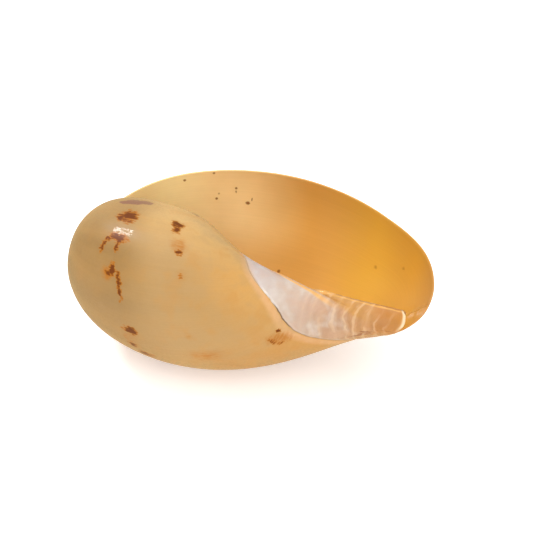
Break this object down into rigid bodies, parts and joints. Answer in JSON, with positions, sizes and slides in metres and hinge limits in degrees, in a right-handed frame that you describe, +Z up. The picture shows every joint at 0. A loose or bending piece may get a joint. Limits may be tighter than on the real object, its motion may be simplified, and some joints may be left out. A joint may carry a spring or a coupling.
{
  "type": "melon shell",
  "caption": "Large involute sea shell of one spiral wall, lying on its back, with a wide open aperture, a pleated columella and a smooth first dome.",
  "frame": {"origin": "bottom centre of the shell's box, on the surface that it rests on", "axes": "+X along the coiling axis towards the front end, which is raised by about 4 degrees; +Y towards the outer lip; +Z up, out of the aperture"},
  "size_m": [0.224, 0.139, 0.1069],
  "materials": {
    "shell": "glossy polished shell, buff outside with brown blotches, orange inside, pale pinkish columella"
  },
  "bodies": {
    "root": {"shell": "shell"}
  },
  "joints": []
}
